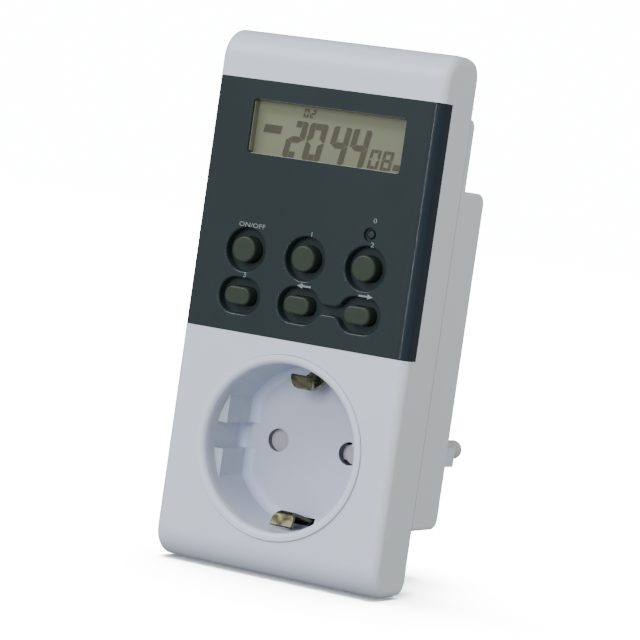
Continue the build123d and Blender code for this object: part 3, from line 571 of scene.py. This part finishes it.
# Flat lettering from the built-in font, made a mesh before it is placed
def lettering(name, words, centre, user):
    curve = bpy.data.curves.new(name, "FONT")
    curve.body = words
    curve.size = user["height"] / user["capShare"]
    curve.align_x = "CENTER"
    curve.align_y = "CENTER"
    curve.extrude = display["thick"] / 2
    curve.resolution_u = 3
    holder = bpy.data.objects.new(name + "Curve", curve)
    bpy.context.scene.collection.objects.link(holder)
    bpy.context.view_layer.update()
    mesh = bpy.data.meshes.new_from_object(holder.evaluated_get(bpy.context.evaluated_depsgraph_get()))
    bpy.data.objects.remove(holder)
    mesh.name = name
    place = Matrix.Translation((centre[0], labelY, centre[1]))
    upright = Matrix.Rotation(math.pi / 2, 4, "X")
    wide = Matrix.Diagonal((user["stretch"], 1, 1, 1))
    mesh.transform(place @ upright @ wide)
    housingPiece(name, mesh, labelMaterial)


# Arrow along X with a narrow head, as an outline
def arrow(tail, tip, user):
    half = user["arrowHalf"]
    shaft = half * user["arrowShaft"]
    row = user["arrowRow"]
    neck = tip - math.copysign(user["arrowHead"], tip - tail)
    return [(tail, row - shaft), (neck, row - shaft), (neck, row - half), (tip, row), (neck, row + half),
            (neck, row + shaft), (tail, row + shaft)]


for name, words, centre in labels["words"]:
    lettering(name, words, centre, labels)
arrows = [arrow(tail, tip, labels) for tail, tip in labels["arrowSpans"]]
arrowMesh = prisms("labelArrows", arrows, labelY + labels["arrowSink"], display["thick"])
housingPiece("labelArrows", arrowMesh, labelMaterial)
print("labels printed")

# Plain pale floor just under the object
studio = {"floorDrop": 0.0004, "floorSize": 6.0, "white": (0.93, 0.935, 0.94), "cloudSize": 0.4,
          "shade": 0.99}
floorZ = cadBox[0][2] - studio["floorDrop"]
floorMesh = bpy.data.meshes.new("floor")
half = studio["floorSize"] / 2
floorCorners = [(-half, -half, floorZ), (half, -half, floorZ), (half, half, floorZ), (-half, half, floorZ)]
floorMesh.from_pydata(floorCorners, [], [(0, 1, 2, 3)])
floor = bpy.data.objects.new("floor", floorMesh)
bpy.context.scene.collection.objects.link(floor)
floorFinish = Finish("paleFloor", {"Roughness": 0.9, "Specular IOR Level": 0.1})
floorCloud = floorFinish.noise(studio["cloudSize"])
floorShades = [tint(studio["white"], studio["shade"]), opaque(studio["white"])]
floorFinish.colour(floorFinish.blend(floorCloud, *floorShades))
floorMesh.materials.append(floorFinish.material)
floor.visible_diffuse = False
floor.visible_glossy = False

# Surroundings: plain white to the camera, and to the object a dim dome that brightens towards one side
# and is dimmer still in reflections
dome = {"toward": (-0.35, -0.70, 0.62), "low": 0.30, "rise": 0.36, "seen": 16.0, "mirrored": 0.5,
        "colour": (0.94, 0.97, 1.0)}
world = bpy.data.worlds.new("studioWorld")
world.use_nodes = True
sky = world.node_tree
direction = sky.nodes.new("ShaderNodeTexCoord").outputs["Generated"]
facing = sky.nodes.new("ShaderNodeVectorMath")
facing.operation = "DOT_PRODUCT"
sky.links.new(direction, facing.inputs[0])
facing.inputs[1].default_value = Vector(dome["toward"]).normalized()
rays = sky.nodes.new("ShaderNodeLightPath").outputs
cameraRay = Wire(sky, rays["Is Camera Ray"])
glossyRay = Wire(sky, rays["Is Glossy Ray"])
glow = dome["low"] + dome["rise"] * (Wire(sky, facing.outputs["Value"]) * 0.5 + 0.5) ** 2.0
glow = glow * (1.0 - glossyRay * (1.0 - dome["mirrored"]))
feed(sky, sky.nodes["Background"].inputs["Strength"], glow * (1.0 - cameraRay) + dome["seen"] * cameraRay)
sky.nodes["Background"].inputs["Color"].default_value = opaque(dome["colour"])
bpy.context.scene.world = world


# Soft lamps round the object: directions from it, metres and watts
lampAim = Vector((0.0, deep(10), 0.03))
lamps = {"keyLamp": {"toward": (0.10, -0.95, 0.22), "distance": 0.9, "size": (0.25, 0.4), "power": 5.9,
                     "colour": (0.92, 0.955, 1.0), "mirrored": False},
         "fillLamp": {"toward": (0.92, 0.12, 0.38), "distance": 0.9, "size": (0.4, 0.4), "power": 4.0,
                      "colour": (1.0, 0.99, 0.92), "mirrored": False},
         "topLamp": {"toward": (-0.44, -0.60, 0.66), "distance": 0.9, "size": (0.5, 0.2), "power": 4.4,
                     "colour": (0.97, 0.98, 1.0), "mirrored": True},
         "stripLamp": {"toward": (-0.20, -0.98, -0.04), "distance": 1.0, "size": (0.02, 0.5), "power": 1.1,
                       "colour": (1.0, 1.0, 1.0), "mirrored": True}}


# A lamp's holder, turned to shine along a direction
def hang(name, light, along):
    holder = bpy.data.objects.new(name, light)
    bpy.context.scene.collection.objects.link(holder)
    holder.rotation_euler = along.to_track_quat("-Z", "Y").to_euler()
    return holder


for name, user in lamps.items():
    lamp = bpy.data.lights.new(name, "AREA")
    lamp.shape = "RECTANGLE"
    lamp.size, lamp.size_y = user["size"]
    lamp.energy = user["power"]
    lamp.color = user["colour"]
    offset = Vector(user["toward"]).normalized() * user["distance"]
    lampHolder = hang(name, lamp, -offset)
    lampHolder.location = lampAim + offset
    lampHolder.visible_glossy = user["mirrored"]

# A broad sun that reaches the floor alone, for a white floor with the object's soft shadow
floorSun = {"power": 60.0, "angle": 0.9, "along": (0.18, -0.10, -1.0)}
floorOnly = bpy.data.collections.new("floorOnly")
floorOnly.objects.link(floor)
sun = bpy.data.lights.new("floorSun", "SUN")
sun.energy = floorSun["power"]
sun.angle = floorSun["angle"]
sunHolder = hang("floorSun", sun, Vector(floorSun["along"]))
sunHolder.light_linking.receiver_collection = floorOnly

# The camera found from the photograph's straight edges and circles; a 640 pixel frame
view = {"place": (0.3253, -0.6620, 0.0670), "right": (0.8721, 0.4681, 0.1423),
        "up": (-0.1505, -0.0201, 0.9884), "focal": 3006.0, "frame": 640.0, "sensor": 36.0}
camera = bpy.data.cameras.new("camera")
camera.sensor_width = view["sensor"]
camera.lens = view["focal"] / view["frame"] * camera.sensor_width
cameraHolder = bpy.data.objects.new("camera", camera)
bpy.context.scene.collection.objects.link(cameraHolder)
right = Vector(view["right"]).normalized()
up = Vector(view["up"]).normalized()
back = right.cross(up).normalized()
up = back.cross(right)
turn = Matrix((right, up, back)).transposed().to_4x4()
cameraHolder.matrix_world = Matrix.Translation(view["place"]) @ turn
bpy.context.scene.camera = cameraHolder
print("studio set")
